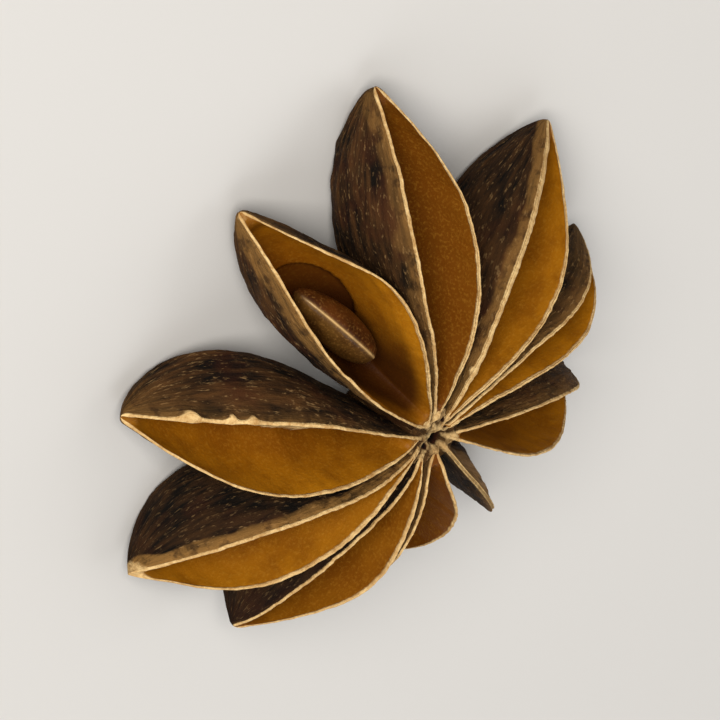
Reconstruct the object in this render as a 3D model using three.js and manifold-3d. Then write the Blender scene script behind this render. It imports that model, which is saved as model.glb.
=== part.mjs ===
// A star anise pod: ten boat-shaped carpels spread round a short column, one still holding its
// seed. Nine have split open along their upper seam and one has stayed shut. The pod lies on
// the keels of its boats. Millimetres and degrees, +Z up.
import * as THREE from "three";
import { mergeVertices } from "three/addons/utils/BufferGeometryUtils.js";
import Module from "manifold-3d";

// Driving dimensions.
const SEAM_START = 1.2; // the pod's axis to where a seam starts
const WALL = 0.5; // a boat's side, from its rim down
const KEEL_WALL = 0.7; // the woody keel under a hollow
const BEAK = 0.2; // half the thickness of a boat's closed tip
const ROOT_PINCH = 0.15; // half the thickness of its closed start
const CLEFT = 0.16; // the narrowest gap between two boats, outside the column
const FLAT_SPOT = 0.15; // how much of the lowest keels is worn flat

// Places along a boat, as fractions of its length.
const KEEL_DEEPEST = 0.42;
const SWELL_START = 0.05; // the sides swell from here
const SWELL_FULL = 0.55; // to here,
const SWELL_FADE = 0.4; // and from here they round off to the tip
const LEAN_FULL = 0.4; // from here on the keel has its full lean
const HOLLOW_START = 0.06;
const HOLLOW_END = 0.97;
const HOLLOW_RAMP = 0.14; // how soon the hollow's floor drops from either end

const KEEL_ROOT_LIFT = 0.42; // how much shallower the keel is at the column, as a share
const SNOUT = 2.6; // it rises later and harder towards the tip as this grows
const BEAK_SHARPNESS = 4; // how close to the tip the rims close into a beak
const CROWDING = 6; // how suddenly a wall bends away from its neighbour

// The column, from its top down.
const COLUMN_TOP = 0.15; // a little above the start of the seams
const COLUMN_HEIGHT = 5.4;
const PIT_DEPTH = 0.7; // the sunk middle of its top
const PIT_FLOOR_RADIUS = 0.57;
const PIT_RADIUS = 0.95;
const TOP_EDGE_RADIUS = 1.52;
const SHOULDER_RADIUS = 1.9;
const SHOULDER_DROP = 0.55;
const FOOT_RADIUS = 2.9;
const FOOT_CHAMFER = 0.6;
const SCAR_RADIUS = 1.25; // where the stalk broke off underneath
const SCAR_FLOOR_RADIUS = 1.0;
const SCAR_DEPTH = 0.35;

const SEED_LENGTH = 7.0;
const SEED_HEIGHT = 3.6;
const SEED_THICKNESS = 2.5;
const SEED_TAPER = 0.12; // how much slimmer than its middle the outer end is, as a share
const SEED_EDGE = 0.3; // how much thinner it is at its ridge
const SEED_ALONG = 0.44; // where it lies in its boat
const SEED_SINK = 4.4; // its middle below the seam
const SEED_SIDE = 0.9; // towards the anticlockwise wall
const SEED_SLOPE = 16; // its outer end hangs down
const SEED_YAW = 8;

const BOAT_STATIONS = 14;
const WALL_STEPS = 5; // on each side of the keel
const CURVE_SIDES = 24;
const SEED_RINGS = 12;
const SLIVER = 0.01; // joins leave no face thinner than about this

// The carpels, anticlockwise seen from above.
// bearing: which way the seam runs; reach: from the axis to the tip; gap: how far past halfway
// the cleft to the next boat lies, an angle.
// rise, drop, curl: the seam climbs at the rise, ends the drop below its start, and turns
// down later and harder with more curl.
// mouth: width over the two rims, at its widest at the fraction `widest`; taper: how sharply
// it closes towards both ends; bow: how far the seam's middle swings anticlockwise; sway: how
// far its inner half swings anticlockwise and its outer half back.
// depth: from the seam to the keel; snout: this boat's own, where it isn't SNOUT;
// lean: how far the keel swings anticlockwise, an angle.
// belly: how far the sides swell past a plain round bottom.
const CARPELS = [
  { bearing: -135, reach: 20.3, rise: 6.9, drop: 6.7, curl: 2.0, gap: -3,
    mouth: 4.4, widest: 0.55, taper: 1.0, bow: -0.6, sway: 0.2, depth: 7.8, lean: 12, belly: 0.8 },
  { bearing: -103, reach: 18.2, rise: 6.9, drop: 6.7, curl: 2.0, seed: true, snout: 2.2,
    mouth: 6.0, widest: 0.46, taper: 1.0, bow: -0.8, sway: -0.3, depth: 7.7, lean: 6, belly: 0.6 },
  { bearing: -60, reach: 18.5, rise: 6.9, drop: 6.7, curl: 2.0, snout: 3,
    mouth: 4.8, widest: 0.5, taper: 1.0, bow: 0.5, depth: 7.5, lean: -18, belly: 1.1 },
  { bearing: -24, reach: 17.9, rise: 6.9, drop: 6.7, curl: 2.0,
    mouth: 4.1, widest: 0.62, taper: 1.1, bow: 0.3, sway: -0.2, depth: 8.0, lean: -18, belly: 0.9 },
  { bearing: 4, reach: 15.4, rise: 5.5, drop: 4.7, curl: 2.0, gap: -5,
    mouth: 4.7, widest: 0.53, taper: 1.2, bow: 0.8, depth: 7.6, lean: -8, belly: 0.8 },
  { bearing: 55, reach: 12.2, rise: 6.9, drop: 5.8, curl: 2.0,
    mouth: 5.6, widest: 0.55, taper: 0.85, bow: -2.1, depth: 7.2, lean: 0, belly: 0.8 },
  { bearing: 85, reach: 15.6, rise: 5.0, drop: 6.4, curl: 2.0, shut: true,
    mouth: 0.1, widest: 0.5, taper: 0.85, bow: -0.5, depth: 7.45, lean: 12, belly: 0.9 },
  { bearing: 116, reach: 16.9, rise: 3.0, drop: 7.0, curl: 3.0,
    mouth: 3.7, widest: 0.54, taper: 1.0, bow: 0.3, depth: 7.2, lean: 0, belly: 0.8 },
  { bearing: 149, reach: 17.0, rise: 1.5, drop: 7.2, curl: 4.5, gap: 3,
    mouth: 2.5, widest: 0.6, taper: 0.85, bow: 0.7, depth: 7.5, lean: 0, belly: 0.8 },
  { bearing: 179, reach: 18.6, rise: 6.9, drop: 6.7, curl: 2.0,
    mouth: 4.8, widest: 0.54, taper: 1.1, bow: 0.4, sway: 0.5, depth: 7.6, lean: 6, belly: 0.9 },
];

const COLOURS = { husk: 0x6b5136, seed: 0x8a4a17 };

const wasm = await Module();
wasm.setup();

const { degToRad, clamp, lerp, smoothstep } = THREE.MathUtils;

// The angle between a carpel and the cleft on each side of it.
function roomBeside(index) {
  const count = CARPELS.length;
  const own = CARPELS[index];
  const next = CARPELS[(index + 1) % count];
  const last = CARPELS[(index + count - 1) % count];
  const ahead = ((next.bearing - own.bearing + 360) % 360) / 2 + (own.gap ?? 0);
  const behind = ((own.bearing - last.bearing + 360) % 360) / 2 - (last.gap ?? 0);
  return { ahead: degToRad(ahead), behind: degToRad(behind) };
}

// The seam at a fraction of the boat's length: distance out, sideways swing and height.
function seamAt(carpel, along) {
  const { reach, rise, drop, curl, bow, sway = 0 } = carpel;
  return {
    out: SEAM_START + (reach - SEAM_START) * along,
    side: bow * 4 * along * (1 - along) + sway * Math.sin(2 * Math.PI * along),
    up: rise * along - (rise + drop) * along ** curl,
  };
}

function halfMouth({ mouth, widest, taper }, along) {
  const peaked = along ** (Math.log(0.5) / Math.log(widest));
  const open = Math.max(0, Math.sin(Math.PI * peaked)) ** taper;
  const closed = ROOT_PINCH * (1 - along) + BEAK * along ** BEAK_SHARPNESS;
  return (mouth / 2) * open + closed;
}

function keelDepth({ depth, snout = SNOUT }, along) {
  if (along < KEEL_DEEPEST) {
    return depth * (1 - KEEL_ROOT_LIFT * (1 - along / KEEL_DEEPEST) ** 2);
  }
  const towardsTip = (along - KEEL_DEEPEST) / (1 - KEEL_DEEPEST);
  return depth * (1 - towardsTip ** snout) + BEAK * towardsTip;
}

function sideSwell({ belly }, along) {
  const towardsTip = clamp((along - SWELL_FADE) / (1 - SWELL_FADE), 0, 1);
  return belly * Math.sqrt(1 - towardsTip ** 2) * smoothstep(along, SWELL_START, SWELL_FULL);
}

// A wall bends away from the cleft beside it, without a corner.
function keepWithin(side, limit) {
  return side / (1 + Math.abs(side / limit) ** CROWDING) ** (1 / CROWDING);
}

// How far the hollow's floor has dropped, from 0 at its two ends to 1.
function hollowShare(along) {
  const fromEnd = Math.min(along - HOLLOW_START, HOLLOW_END - along);
  const share = clamp(fromEnd / HOLLOW_RAMP, 0, 1);
  return share * (2 - share);
}

// What is left inside a wall, which thins where the boat is narrow.
function inside(width, wall) {
  return Math.max(width - wall, width / 2);
}

// The boat's cross-section from one rim down round the keel to the other, as points, either
// of its outer skin or of its hollow. Past the hollow's ends the share is 0, and its points
// lie evenly along the closed seam.
function section(carpel, room, along, { wall, keel, share }) {
  const seam = seamAt(carpel, along);
  const half = wall ? inside(halfMouth(carpel, along), wall) : halfMouth(carpel, along);
  const deep = share * Math.max(keelDepth(carpel, along) - keel, 0);
  const swell = share * sideSwell(carpel, along);
  const lean = degToRad(carpel.lean) * Math.min(1, along / LEAN_FULL);
  const points = [];
  for (let step = -WALL_STEPS; step <= WALL_STEPS; step += 1) {
    const even = step / WALL_STEPS;
    const turn = (Math.PI / 2) * even;
    const down = deep * Math.cos(turn);
    const across = half * lerp(even, Math.sin(turn), share) + swell * Math.sin(2 * turn);
    const side = seam.side + down * Math.sin(lean) + across;
    const angle = side > 0 ? room.ahead : room.behind;
    const space = seam.out * Math.tan(angle) - CLEFT / 2;
    points.push({
      out: seam.out,
      side: keepWithin(side, wall ? inside(space, wall) : space),
      up: seam.up - down * Math.cos(lean),
    });
  }
  return points;
}

// Down the outside of the boat and up again, then back through its hollow.
function ring(carpel, room, along) {
  const outer = section(carpel, room, along, { wall: 0, keel: 0, share: 1 });
  const share = carpel.shut ? 0 : hollowShare(along);
  const inner = section(carpel, room, along, { wall: WALL, keel: KEEL_WALL, share });
  return [...outer, ...inner.reverse()];
}

// One boat as a closed skin over its rings. A strip of faces between skin and hollow closes
// each end.
function boat(carpel, room) {
  const rings = [];
  for (let i = 0; i < BOAT_STATIONS; i += 1) {
    rings.push(ring(carpel, room, i / (BOAT_STATIONS - 1)));
  }
  const size = rings[0].length;
  const positions = rings.flat().flatMap(({ out, side, up }) => [out, side, up]);
  const faces = [];
  for (let row = 0; row < rings.length - 1; row += 1) {
    for (let column = 0; column < size; column += 1) {
      const [a, b] = [row * size + column, row * size + ((column + 1) % size)];
      const [c, d] = [a + size, b + size];
      faces.push(a, b, c, b, d, c);
    }
  }
  const end = (rings.length - 1) * size;
  for (let step = 0; step < 2 * WALL_STEPS; step += 1) {
    const [a, b] = [step, step + 1];
    const [c, d] = [size - 1 - step, size - 2 - step];
    faces.push(a, c, b, b, c, d);
    faces.push(end + a, end + b, end + c, end + b, end + d, end + c);
  }
  const geometry = new THREE.BufferGeometry();
  geometry.setAttribute("position", new THREE.Float32BufferAttribute(positions, 3));
  geometry.setIndex(faces);
  return toSolid(geometry.rotateZ(degToRad(carpel.bearing)));
}

function toSolid(geometry) {
  const bare = geometry.clone();
  bare.deleteAttribute("normal");
  bare.deleteAttribute("uv");
  const merged = mergeVertices(bare, 1e-4);
  const vertProperties = new Float32Array(merged.attributes.position.array);
  const triVerts = new Uint32Array(merged.index.array);
  return new wasm.Manifold(new wasm.Mesh({ numProp: 3, vertProperties, triVerts }));
}

function toGeometry(solid) {
  const mesh = solid.getMesh();
  const geometry = new THREE.BufferGeometry();
  geometry.setAttribute("position", new THREE.BufferAttribute(mesh.vertProperties, 3));
  geometry.setIndex(new THREE.BufferAttribute(mesh.triVerts, 1));
  geometry.computeVertexNormals();
  return geometry;
}

// The column that the boats grow from, with a sunk top and the stalk's scar underneath.
function column() {
  const foot = COLUMN_TOP - COLUMN_HEIGHT;
  const outline = [
    [0, foot + SCAR_DEPTH],
    [SCAR_FLOOR_RADIUS, foot + SCAR_DEPTH],
    [SCAR_RADIUS, foot],
    [FOOT_RADIUS - FOOT_CHAMFER, foot],
    [FOOT_RADIUS, foot + FOOT_CHAMFER],
    [SHOULDER_RADIUS, COLUMN_TOP - SHOULDER_DROP],
    [TOP_EDGE_RADIUS, COLUMN_TOP],
    [PIT_RADIUS, COLUMN_TOP],
    [PIT_FLOOR_RADIUS, COLUMN_TOP - PIT_DEPTH],
    [0, COLUMN_TOP - PIT_DEPTH],
  ].map(([radius, up]) => new THREE.Vector2(radius, up));
  const lathe = new THREE.LatheGeometry(outline, CURVE_SIDES);
  return toSolid(lathe.rotateX(Math.PI / 2));
}

// Everything below a level, to cut the flat spots that the pod rests on.
function groundBelow(level) {
  const [width, thickness] = [60, 10];
  const block = new THREE.BoxGeometry(width, width, thickness);
  return toSolid(block.translate(0, 0, level - thickness / 2));
}

function husk() {
  let body = column();
  CARPELS.forEach((carpel, index) => {
    body = body.add(boat(carpel, roomBeside(index)));
  });
  const lowest = body.boundingBox().min[2];
  body = body.subtract(groundBelow(lowest + FLAT_SPOT));
  return toGeometry(body.simplify(SLIVER));
}

// A flat egg with a thin edge: length along X, thickness along Y, the blunt end towards -X.
function seed() {
  const geometry = new THREE.SphereGeometry(1, CURVE_SIDES, SEED_RINGS);
  geometry.rotateZ(Math.PI / 2);
  const place = geometry.attributes.position;
  for (let i = 0; i < place.count; i += 1) {
    const [x, y, z] = [place.getX(i), place.getY(i), place.getZ(i)];
    const egg = 1 - SEED_TAPER * x;
    const edge = 1 - SEED_EDGE * z * z;
    place.setXYZ(
      i,
      (SEED_LENGTH / 2) * x,
      (SEED_THICKNESS / 2) * y * egg * edge,
      (SEED_HEIGHT / 2) * z * egg,
    );
  }
  return toGeometry(toSolid(geometry));
}

function matte(name) {
  return new THREE.MeshStandardMaterial({ color: COLOURS[name], roughness: 0.75, metalness: 0 });
}

const pod = new THREE.Group();

const huskMesh = new THREE.Mesh(husk(), matte("husk"));
huskMesh.name = "husk";
pod.add(huskMesh);

const home = CARPELS.find((carpel) => carpel.seed);
const rest = seamAt(home, SEED_ALONG);
const boatGroup = new THREE.Group();
boatGroup.rotation.z = degToRad(home.bearing);
const seedMesh = new THREE.Mesh(seed(), matte("seed"));
seedMesh.name = "seed";
seedMesh.position.set(rest.out, rest.side + SEED_SIDE, rest.up - SEED_SINK);
seedMesh.rotation.set(0, degToRad(SEED_SLOPE), degToRad(SEED_YAW), "ZYX");
boatGroup.add(seedMesh);
pod.add(boatGroup);

// The origin is under the middle of the pod's outline, on the ground.
const extent = new THREE.Box3().setFromObject(pod);
const middle = extent.getCenter(new THREE.Vector3());
pod.position.set(-middle.x, -middle.y, -extent.min.z);

export default pod;
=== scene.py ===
# A star anise pod: ten boat-shaped carpels round a short column, and the seed in one of them,
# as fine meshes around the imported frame. Shapes are in millimetres from the column's axis and
# the level where the seams start, and become metres when a mesh is made. Named angles are in
# degrees, and bearings are turned anticlockwise from +X, seen from above.
import math
from collections import namedtuple
from types import SimpleNamespace

import bpy
import numpy as np
from mathutils import Matrix, Vector


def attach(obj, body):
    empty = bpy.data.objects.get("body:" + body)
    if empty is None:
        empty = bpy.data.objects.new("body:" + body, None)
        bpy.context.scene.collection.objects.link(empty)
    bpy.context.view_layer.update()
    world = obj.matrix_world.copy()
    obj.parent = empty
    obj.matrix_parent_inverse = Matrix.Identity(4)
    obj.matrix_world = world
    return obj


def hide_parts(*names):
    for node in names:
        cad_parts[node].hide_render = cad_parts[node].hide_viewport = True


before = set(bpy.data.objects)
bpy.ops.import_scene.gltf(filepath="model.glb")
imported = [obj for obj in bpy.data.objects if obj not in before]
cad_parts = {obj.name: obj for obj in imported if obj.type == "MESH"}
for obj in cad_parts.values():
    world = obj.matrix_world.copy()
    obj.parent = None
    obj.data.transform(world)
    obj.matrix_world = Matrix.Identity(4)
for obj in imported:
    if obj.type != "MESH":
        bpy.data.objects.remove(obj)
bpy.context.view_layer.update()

MM = 0.001
POD_AXIS = (1.0834, 1.1102)  # where the column's axis stands in the frame
SEAM_LEVEL = 8.297  # the seams' inner ends above the ground

# -------- the same sizes as the CAD
# "Along" is a fraction of the way along a boat, from 0 at the column to 1 at the tip.
SEAM_START = 1.2  # where the seams start, from the column's axis
BEAK = 0.2  # half width and depth of a boat's very tip
BEAK_SHARPNESS = 4
ROOT_PINCH = 0.15  # half width of a mouth at the column
CLEFT = 0.16  # gap between neighbours that touch
CROWDING = 6  # how suddenly a neighbour stops a wall
KEEL_DEEPEST = 0.42  # along
KEEL_ROOT_LIFT = 0.42  # how much shallower a keel is at the column, as a share
SNOUT = 2.6  # how bluntly most keels come up to the tip
SWELL_START = 0.05  # along
SWELL_FULL = 0.55
SWELL_FADE = 0.4
LEAN_FULL = 0.4  # along
COLUMN_FOOT = -5.25
FOOT_RADIUS = 2.9
SCAR_RADIUS = 1.25  # of the stalk's scar underneath
SEED_LENGTH = 7.0
SEED_HEIGHT = 3.6
SEED_THICKNESS = 2.5
SEED_TAPER = 0.12
SEED_EDGE = 0.3  # how much its flat sides draw in towards the edge
SEED_ALONG = 0.44
SEED_SINK = 4.4  # its middle below the seam
SEED_SIDE = 0.9
SEED_SLOPE = 16
SEED_YAW = 8

# One row for each carpel: its bearing, how far out the tip reaches, how the seam rises, drops
# and curls, how wide the mouth opens, where it is widest and how it tapers, how the seam bows and
# sways sideways, how far the gap to the next boat is turned, the depth of the keel and its snout,
# the lean of the whole boat and the belly of its sides.
ROW_NAMES = (
    "bearing", "reach", "rise", "drop", "curl", "mouth", "widest", "taper", "bow", "sway",
    "gap", "depth", "snout", "lean", "belly",
)
ROWS = [
    (-135, 20.3, 6.9, 6.7, 2.0, 4.4, 0.55, 1.0, -0.6, 0.2, -3, 7.8, SNOUT, 12, 0.8),
    (-103, 18.2, 6.9, 6.7, 2.0, 6.0, 0.46, 1.0, -0.8, -0.3, 0, 7.7, 2.2, 6, 0.6),
    (-60, 18.5, 6.9, 6.7, 2.0, 4.8, 0.5, 1.0, 0.5, 0, 0, 7.5, 3, -18, 1.1),
    (-24, 17.9, 6.9, 6.7, 2.0, 4.1, 0.62, 1.1, 0.3, -0.2, 0, 8.0, SNOUT, -18, 0.9),
    (4, 15.4, 5.5, 4.7, 2.0, 4.7, 0.53, 1.2, 0.8, 0, -5, 7.6, SNOUT, -8, 0.8),
    (55, 12.2, 6.9, 5.8, 2.0, 5.6, 0.55, 0.85, -2.1, 0, 0, 7.2, SNOUT, 0, 0.8),
    (85, 15.6, 5.0, 6.4, 2.0, 0.1, 0.5, 0.85, -0.5, 0, 0, 7.45, SNOUT, 12, 0.9),
    (116, 16.9, 3.0, 7.0, 3.0, 3.7, 0.54, 1.0, 0.3, 0, 0, 7.2, SNOUT, 0, 0.8),
    (149, 17.0, 1.5, 7.2, 4.5, 2.5, 0.6, 0.85, 0.7, 0, 3, 7.5, SNOUT, 0, 0.8),
    (179, 18.6, 6.9, 6.7, 2.0, 4.8, 0.54, 1.1, 0.4, 0.5, 0, 7.6, SNOUT, 6, 0.9),
]

# -------- what only the looks need
LIP = 0.06  # height of the rounded top of a rim
ROOT_ROUND = 0.3  # how far a boat's root is rounded into the column

# A side is -1 for a boat's clockwise wall and 1 for the other. "Below" is a depth below the rim.
Chip = namedtuple("Chip", "side along outward half_length")  # torn fibre that stands out of a rim
Ledge = namedtuple("Ledge", "side start end below height")  # skin that lifts off the inside
Bed = namedtuple("Bed", "start end below")  # the darker bed round a seed: partly its own browner colour, partly painted shadow from the seed and the step above it
LitBand = namedtuple("LitBand", "side strength depth")  # a paler strip under a rim, outside: painted light on the top of the wall, over its own paler tone

# What carpels share unless their own looks say otherwise.
COMMON_LOOKS = dict(
    rims=(0.15, 0.15),  # how thick the walls are at their rims, the clockwise one first
    hollow=0.05,  # along, where the hollow starts
    blunt=0.99,  # along, where the tip starts to round off
    shut=False,
    chips=(),
    ledge=None,
    bed=None,
    band=None,
    plug=0.12,  # how much pale fibre fills the tip
    gold=0.8,  # the hollow, from 0 for brown to 1 for golden; the browner boats are partly painted shade
    pale=0.0,  # the outside: below 0 is darker, as painted shade over the whole boat, and above 1 is a paler grey painted brighter as if lit
)
LOOKS = [
    dict(blunt=0.975, band=LitBand(1, 0.25, 1.2), gold=0.05),
    dict(bed=Bed(0.17, 0.73, 5.3), band=LitBand(1, 0.5, 1.8), plug=0.5, gold=1.0),
    dict(
        blunt=0.985,
        chips=(
            Chip(-1, 0.85, 0.45, 0.025),
            Chip(-1, 0.745, 0.25, 0.012),
            Chip(-1, 0.69, 0.2, 0.015),
        ),
        ledge=Ledge(-1, 0.45, 0.73, 0.55, 1.4),
        gold=1.0,
    ),
    dict(blunt=0.97, plug=1.6, band=LitBand(-1, 0.85, 0.9), gold=0.7, pale=-0.35),
    dict(gold=0.3, pale=-0.4),
    dict(gold=0.0),
    dict(shut=True, band=LitBand(1, 1.3, 4.0)),
    dict(gold=0.9, pale=0.1),
    dict(gold=1.0, pale=0.12),
    dict(
        rims=(0.16, 0.36), hollow=0.0, chips=(Chip(1, 0.18, 0.2, 0.02),),
        band=LitBand(1, 0.6, 0.9), gold=0.75, pale=-0.25,
    ),
]
CARPELS = [
    SimpleNamespace(**{**COMMON_LOOKS, **dict(zip(ROW_NAMES, row)), **look})
    for row, look in zip(ROWS, LOOKS)
]

# -------- noise
NOISE_SEED = 11
LATTICE_SIZE = 32
LATTICE = np.random.default_rng(NOISE_SEED).uniform(-1, 1, (LATTICE_SIZE,) * 3)
OCTAVE_SHIFTS = (5.3, 9.1, 3.7)

# Unevenness: its height in millimetres, its waves to a millimetre, and a shift that only picks
# another stretch of the noise.
Rough = namedtuple("Rough", "height scale shift")
Grain = namedtuple("Grain", "height along across shift")


def smoothstep(x, low, high):
    t = np.clip((x - low) / (high - low), 0, 1)
    return t * t * (3 - 2 * t)


def hump(x, middle, half_width):
    return np.exp(-(((x - middle) / half_width) ** 2))


def noise(x, y, z):
    """Smooth noise from -1 to 1 with one feature to a unit."""
    at = np.broadcast_arrays(x, y, z)
    cell = [np.floor(v).astype(int) for v in at]
    ease = [smoothstep(v - c, 0, 1) for v, c in zip(at, cell)]
    total = 0
    for corner in np.ndindex(2, 2, 2):
        weight = 1
        for step, e in zip(corner, ease):
            weight = weight * (e if step else 1 - e)
        total = total + weight * LATTICE[tuple((c + s) % LATTICE_SIZE for c, s in zip(cell, corner))]
    return total


def layers(x, y, z, octaves=3):
    """Noise with finer and weaker layers on it."""
    total = 0
    for octave in range(octaves):
        finer = 2**octave
        shifted = [v * finer + shift * octave for v, shift in zip((x, y, z), OCTAVE_SHIFTS)]
        total = total + noise(*shifted) / finer
    return total


def ridges(x, y, z):
    """Sharp crests between broad hollows, 0 to 1."""
    return (1 - np.abs(noise(x, y, z))) ** 3


def on_plan(kind, rough, x, y, **options):
    """Unevenness that depends only on the place seen from above."""
    return rough.height * kind(x * rough.scale, y * rough.scale, rough.shift, **options)


# -------- a slow bend, and outward directions
WARP_HEIGHT = 0.13
WARP_WAVE = 5.5  # millimetres
WARP_SPAN = (2, 6)  # from the axis, where the bend starts and is full
WARP_SHIFT = 4.7


def warp(points):
    """A slow bend of the boats, so that none is quite regular."""
    x, y, z = np.moveaxis(points / WARP_WAVE, -1, 0)
    fade = smoothstep(np.hypot(points[..., 0], points[..., 1]), *WARP_SPAN)[..., None]
    return WARP_HEIGHT * fade * np.stack([noise(x, y, z + k * WARP_SHIFT) for k in (1, 2, 3)], -1)


def normals(points):
    """Outward directions on a grid whose columns close on themselves."""
    down_rows = np.gradient(points, axis=0)
    wrapped = np.concatenate([points[:, -1:], points, points[:, :1]], 1)
    across = (wrapped[:, 2:] - wrapped[:, :-2]) / 2
    cross = np.cross(across, down_rows)
    return cross / np.maximum(np.linalg.norm(cross, axis=-1, keepdims=True), 1e-9)


# -------- a boat's form
HOLLOW_END = 0.985  # along
HOLLOW_RAMP = 0.14  # how much of the boat it takes to reach its full depth
LEAST_WIDTH = 0.45  # the share of a boat's width that its walls always leave
CROWDED = (0.6, 0.9)  # shares of its room where a wall starts to be crowded and wholly is
Skin = namedtuple("Skin", "side up sink crowded")


def length_of(carpel, along):
    """Millimetres along the boat."""
    return along * (carpel.reach - SEAM_START)


def seam_at(carpel, along):
    """Distance out, sideways place and height of the seam."""
    out = SEAM_START + (carpel.reach - SEAM_START) * along
    side = carpel.bow * 4 * along * (1 - along) + carpel.sway * np.sin(2 * np.pi * along)
    return out, side, carpel.rise * along - (carpel.rise + carpel.drop) * along**carpel.curl


def half_mouth(carpel, along):
    peaked = along ** (math.log(0.5) / math.log(carpel.widest))
    opened = np.maximum(0, np.sin(np.pi * peaked)) ** carpel.taper
    closed = ROOT_PINCH * (1 - along) + BEAK * along**BEAK_SHARPNESS
    return carpel.mouth / 2 * opened + closed


def keel_depth(carpel, along):
    root = 1 - KEEL_ROOT_LIFT * (1 - along / KEEL_DEEPEST) ** 2
    q = np.clip((along - KEEL_DEEPEST) / (1 - KEEL_DEEPEST), 0, 1)
    tip = carpel.depth * (1 - q**carpel.snout) + BEAK * q
    return np.where(along < KEEL_DEEPEST, carpel.depth * root, tip)


def side_swell(carpel, along):
    q = np.clip((along - SWELL_FADE) / (1 - SWELL_FADE), 0, 1)
    return carpel.belly * np.sqrt(1 - q**2) * smoothstep(along, SWELL_START, SWELL_FULL)


def hollow_share(carpel, along):
    """How much of the hollow's full depth there is, 0 to 1."""
    if carpel.shut:
        return 0 * along
    t = np.clip(np.minimum(along - carpel.hollow, HOLLOW_END - along) / HOLLOW_RAMP, 0, 1)
    return t * (2 - t)


def room_beside(index):
    """Angles in radians to the middle of the gap ahead, anticlockwise, and of the one behind."""
    carpel, before = CARPELS[index], CARPELS[index - 1]
    after = CARPELS[(index + 1) % len(CARPELS)]
    ahead = (after.bearing - carpel.bearing) % 360 / 2 + carpel.gap
    behind = (carpel.bearing - before.bearing) % 360 / 2 - before.gap
    return math.radians(ahead), math.radians(behind)


def keep_within(side, limit):
    return side / (1 + np.abs(side / limit) ** CROWDING) ** (1 / CROWDING)


def inside(width, wall):
    return np.maximum(width - wall, width * LEAST_WIDTH)


def wall_skin(carpel, room, along, even, wall, keel, share):
    """One skin of the boat: sideways place, height, depth below the rim, and how far its
    neighbour crowds it, from 0 to 1. even runs from -1 at the clockwise rim, through 0 at the
    keel, to 1."""
    out, swing, top = seam_at(carpel, along)
    half = inside(half_mouth(carpel, along), wall)
    full = keel_depth(carpel, along)
    deep = share * np.maximum(full - keel, 0)
    swell = share * side_swell(carpel, along)
    turn = np.pi / 2 * even
    sink = LIP + deep * np.cos(turn) * (1 - LIP / np.maximum(full, 2 * LIP))
    across = half * (even * (1 - share) + np.sin(turn) * share) + swell * np.sin(2 * turn)
    lean = np.radians(carpel.lean) * np.minimum(1, along / LEAN_FULL)
    side = swing + sink * np.sin(lean) + across
    space = out * np.tan(np.where(side > 0, room[0], room[1])) - CLEFT / 2
    crowded = smoothstep(np.abs(side) / space, *CROWDED)
    side = keep_within(side, inside(space, wall))
    return Skin(side, top - sink * np.cos(lean), sink, crowded)


# -------- a boat's rims
# On a rim, across only sets the noise of one rim apart from the other's.
RIM_THINNING = Grain(0.25, 0.9, 3.1, 0)  # its height is a share of the thickness
RIM_DIPS = Grain(0.06, 1.7, 5.3, 2)
RIM_NICKS = Grain(0.02, 2.3, 1, 0)
RIM_SWAY = Grain(0.07, 0.45, 7.7, 4)
RIM_SHIVER = Grain(0.02, 2.9, 2.2, 0)
THINNEST_RIM = 0.1
CHIP_LIFT = 0.6  # how much a chip rises for each millimetre that it stands out
DIPS_REACH = 0.55  # how far down a wall the rim's dips and chips reach
SWAY_REACH = 1.6
LEAST_FOLLOW = 0.3  # how much a floor at rim level still follows the rims


def rim_edge(carpel, key, side, along):
    """How one rim wanders, thins and is chipped along the boat."""
    length = length_of(carpel, along)

    def wander(kind, grain):
        return grain.height * kind(length * grain.along, key + grain.shift, side * grain.across)

    thick = carpel.rims[(side + 1) // 2] * (1 + wander(layers, RIM_THINNING))
    lift = -np.abs(wander(layers, RIM_DIPS)) - wander(ridges, RIM_NICKS)
    sway = wander(layers, RIM_SWAY) + wander(noise, RIM_SHIVER)
    chipped, bend = 0 * along, 0 * along
    for chip in carpel.chips:
        if chip.side == side:
            chipped = chipped + hump(along, chip.along, chip.half_length)
            bend = bend + side * chip.outward * hump(along, chip.along, chip.half_length)
    lift = lift + CHIP_LIFT * np.abs(bend)
    return dict(
        thick=np.maximum(thick, THINNEST_RIM), lift=lift, sway=sway, bend=bend, chipped=chipped
    )


def at_side(rims, name, even):
    """A value of the rim that is nearer."""
    return np.where(even < 0, rims[-1][name], rims[1][name])


def follow_rims(skin, rims, even, share, bend_share):
    """The skin with its edges moved as the rims wander, which fades out down the wall."""
    near = hump(skin.sink, LIP, DIPS_REACH)
    broad = hump(skin.sink, LIP, SWAY_REACH)
    up = skin.up + near * at_side(rims, "lift", even) * share
    side = skin.side + broad * at_side(rims, "sway", even) * share
    side = side + near * at_side(rims, "bend", even) * bend_share
    return skin._replace(side=side, up=up)


# -------- a boat's grid of points
# Columns run round each ring: along the outer skin from the clockwise rim under the keel, over
# the other rim, back along the inner skin, and over the clockwise rim.
OUTER_STEPS = 112
INNER_STEPS = 56
LIP_STEPS = 8
BODY_ROWS = 176
END_ROWS = 7
KEY_STEP = 7.3  # between the boats' places in the noise
WALL_SWELL = 0.25  # sideways, how much thicker a wall is at the keel than at its rim
KEEL_WALL = 0.6  # under the hollow
GIRTH = 6.5  # from keel to rim, as the grain counts it
EVEN_OUT = np.linspace(-1, 1, OUTER_STEPS + 1)[None, :]
EVEN_IN = np.linspace(1, -1, INNER_STEPS + 1)[None, :]
LIP_ONES = np.ones((1, LIP_STEPS - 1))


def ring(outer, first_lip, inner, last_lip):
    """Values for all columns of the rings."""
    return np.concatenate([outer, first_lip, inner, last_lip], 1)


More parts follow.
